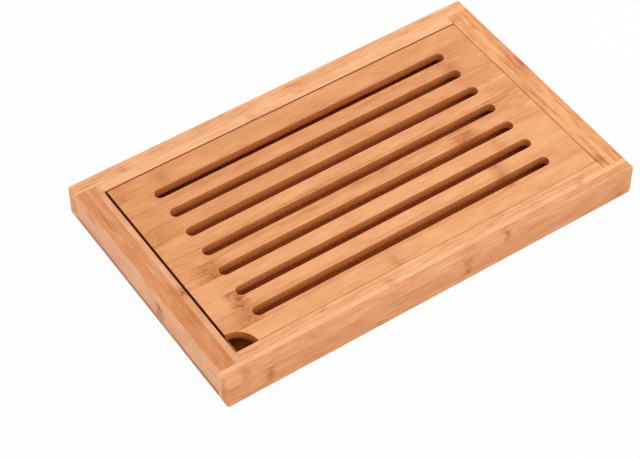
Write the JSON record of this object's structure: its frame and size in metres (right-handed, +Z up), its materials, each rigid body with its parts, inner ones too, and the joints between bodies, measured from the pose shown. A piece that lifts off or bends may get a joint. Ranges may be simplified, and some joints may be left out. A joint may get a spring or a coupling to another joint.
{
  "type": "bread board with crumb catcher",
  "caption": "Bamboo bread board: a flush slotted cutting grid with a finger cut-out lifts out of a framed tray that catches the crumbs",
  "frame": {"origin": "middle of the board's length and width, on the surface that it stands on", "axes": "+X along the board's length to the right end, +Y from the front to the back, +Z up out of the cutting surface"},
  "size_m": [0.4, 0.245, 0.031],
  "materials": {
    "bamboo_long_rail": "oiled, satin",
    "bamboo_side_rail": "oiled, satin",
    "bamboo_panel": "oiled, satin",
    "bamboo_ledge": "oiled, satin",
    "bamboo_grid": "oiled, satin"
  },
  "bodies": {
    "tray": {"front_rail": "bamboo_long_rail", "back_rail": "bamboo_long_rail", "left_rail": "bamboo_side_rail", "right_rail": "bamboo_side_rail", "bottom_panel": "bamboo_panel", "front_ledge": "bamboo_ledge", "back_ledge": "bamboo_ledge", "left_ledge": "bamboo_ledge", "right_ledge": "bamboo_ledge"},
    "grid": {"slotted_grid": "bamboo_grid"}
  },
  "joints": [
    {"name": "grid_lift", "type": "slide", "parent": "tray", "child": "grid", "axis": [0, 0, 1], "range_m": [0, 0.06]}
  ]
}
